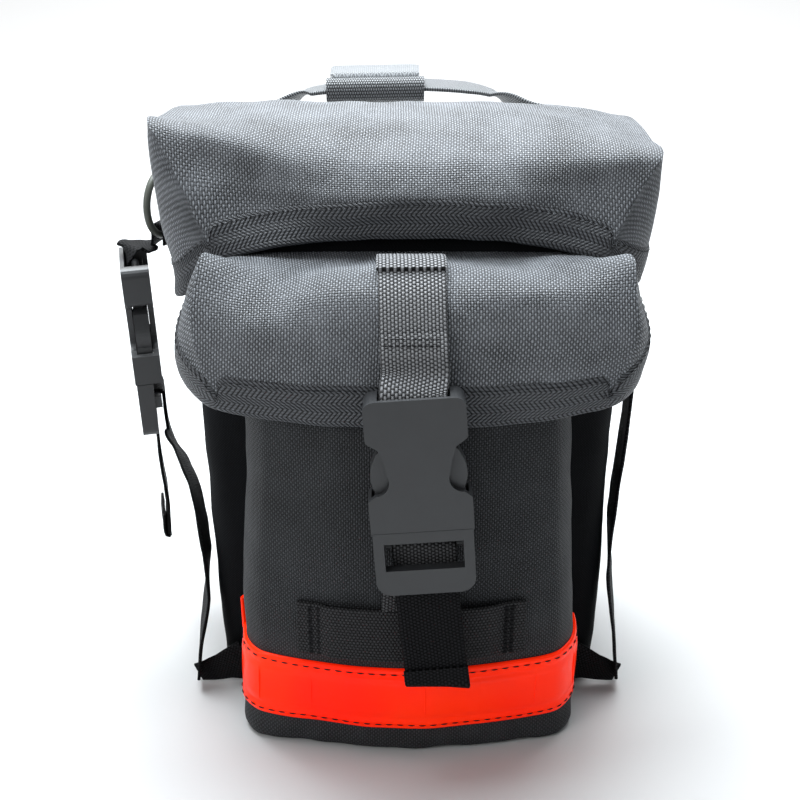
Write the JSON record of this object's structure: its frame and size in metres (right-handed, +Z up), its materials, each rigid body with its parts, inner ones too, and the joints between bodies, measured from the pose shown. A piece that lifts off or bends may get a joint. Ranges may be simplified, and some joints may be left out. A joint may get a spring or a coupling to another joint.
{
  "type": "padded carry case",
  "caption": "Soft case for a portable radio: lidded main compartment, front pocket with a strapped flap, side-release buckles, reflective band and grab handle.",
  "frame": {"origin": "centre of the main compartment's base, on the surface it stands on", "axes": "+Z up, -Y out of the front pocket, +X to the right when facing the front"},
  "size_m": [0.2345, 0.1911, 0.2547],
  "materials": {
    "canvas": "coarse coated weave, matt",
    "side_fabric": "smooth matt",
    "foam_panel": "air mesh, matt",
    "binding": "herringbone tape, matt",
    "webbing": "ribbed webbing, matt",
    "light_webbing": "fine webbing, matt",
    "hook_loop": "hook and loop, matt",
    "board": "matt",
    "buckle_plastic": "fine grain, matt",
    "ring_plastic": "satin",
    "reflective_tape": "glossy, fluorescent"
  },
  "bodies": {
    "bag": {"base_panel": "side_fabric", "base_board": "board", "main_body": "side_fabric", "back_panel": "foam_panel", "pocket_body": "canvas", "pocket_flap_yoke": "canvas", "reflective_band": "reflective_tape", "molle_strip": "webbing", "closure_strap": "webbing", "body_loop_strip": "hook_loop", "handle_anchors": "light_webbing", "d_ring_tab_left": "webbing", "d_ring_tab_right": "webbing", "d_ring_left": "ring_plastic", "d_ring_right": "ring_plastic", "side_strap_loop": "webbing", "side_buckle_female": "buckle_plastic", "side_lower_strap": "webbing", "side_strap_right": "webbing", "bottom_tab_left": "webbing", "bottom_tab_right": "webbing"},
    "lid": {"lid_shell": "canvas", "lid_binding": "binding", "lid_hook_strip": "hook_loop"},
    "flap": {"flap_shell": "canvas", "flap_binding": "binding", "flap_strap": "webbing"},
    "front_housing": {"front_buckle_female": "buckle_plastic", "front_strap_loop": "webbing"},
    "front_latch": {"front_buckle_male": "buckle_plastic"},
    "front_prong_l": {"front_prong_left": "buckle_plastic"},
    "front_prong_r": {"front_prong_right": "buckle_plastic"},
    "front_tail": {"closure_tail": "webbing"},
    "handle": {"handle_strap": "light_webbing", "handle_wrap": "light_webbing"},
    "side_latch": {"side_buckle_male": "buckle_plastic"},
    "side_prong_f": {"side_prong_front": "buckle_plastic"},
    "side_prong_b": {"side_prong_rear": "buckle_plastic"},
    "side_tail_end": {"side_tail": "webbing"}
  },
  "joints": [
    {"name": "main_lid", "type": "hinge", "parent": "bag", "child": "lid", "pos_m": [0, 0.046, 0.236], "axis": [-1, 0, 0], "range_deg": [0, 80]},
    {"name": "pocket_flap", "type": "hinge", "parent": "bag", "child": "flap", "pos_m": [0, -0.056, 0.205], "axis": [-1, 0, 0], "range_deg": [0, 80], "deforming": ["closure_strap"]},
    {"name": "front_buckle_swing", "type": "hinge", "parent": "flap", "child": "front_housing", "pos_m": [0.0022, -0.0946, 0.172], "axis": [-1, 0, 0], "range_deg": [0, 60], "deforming": ["closure_strap"]},
    {"name": "front_buckle_release", "type": "slide", "parent": "front_housing", "child": "front_latch", "axis": [-0.0698, 0.0522, 0.9962], "range_m": [-0.042, 0], "deforming": ["closure_strap"]},
    {"name": "front_prong_right_squeeze", "type": "hinge", "parent": "front_latch", "child": "front_prong_r", "pos_m": [0.01694, -0.10303, 0.11788], "axis": [0, -0.9986, 0.0523], "range_deg": [0, 6], "stiffness_Nm_per_rad": 0.3},
    {"name": "front_prong_left_squeeze", "type": "hinge", "parent": "front_latch", "child": "front_prong_l", "pos_m": [-0.007, -0.10312, 0.11621], "axis": [0, 0.9986, -0.0523], "range_deg": [0, 6], "stiffness_Nm_per_rad": 0.3},
    {"name": "front_tail_swing", "type": "hinge", "parent": "front_latch", "child": "front_tail", "pos_m": [0.0069, -0.1039, 0.086], "axis": [-1, 0, 0], "range_deg": [0, 60]},
    {"name": "handle_lift", "type": "hinge", "parent": "bag", "child": "handle", "pos_m": [0, 0.055, 0.236], "axis": [-1, 0, 0], "range_deg": [-6, 45]},
    {"name": "side_buckle_release", "type": "slide", "parent": "bag", "child": "side_latch", "axis": [-0.0349, 0, 0.9994], "range_m": [-0.042, 0], "deforming": ["side_lower_strap"]},
    {"name": "side_prong_front_squeeze", "type": "hinge", "parent": "side_latch", "child": "side_prong_f", "pos_m": [-0.11603, 0.00029, 0.1316], "axis": [-0.9757, -0.2164, -0.0341], "range_deg": [0, 6], "stiffness_Nm_per_rad": 0.3},
    {"name": "side_prong_rear_squeeze", "type": "hinge", "parent": "side_latch", "child": "side_prong_b", "pos_m": [-0.1212, 0.02371, 0.13142], "axis": [0.9757, 0.2164, 0.0341], "range_deg": [0, 6], "stiffness_Nm_per_rad": 0.3},
    {"name": "side_tail_swing", "type": "hinge", "parent": "side_latch", "child": "side_tail_end", "pos_m": [-0.11675, 0.01217, 0.1003], "axis": [-0.2164, 0.9763, 0], "range_deg": [0, 35]}
  ],
  "couplings": [
    {"joint": "front_prong_left_squeeze", "follows": "front_prong_right_squeeze", "ratio": 1},
    {"joint": "side_prong_rear_squeeze", "follows": "side_prong_front_squeeze", "ratio": 1}
  ]
}
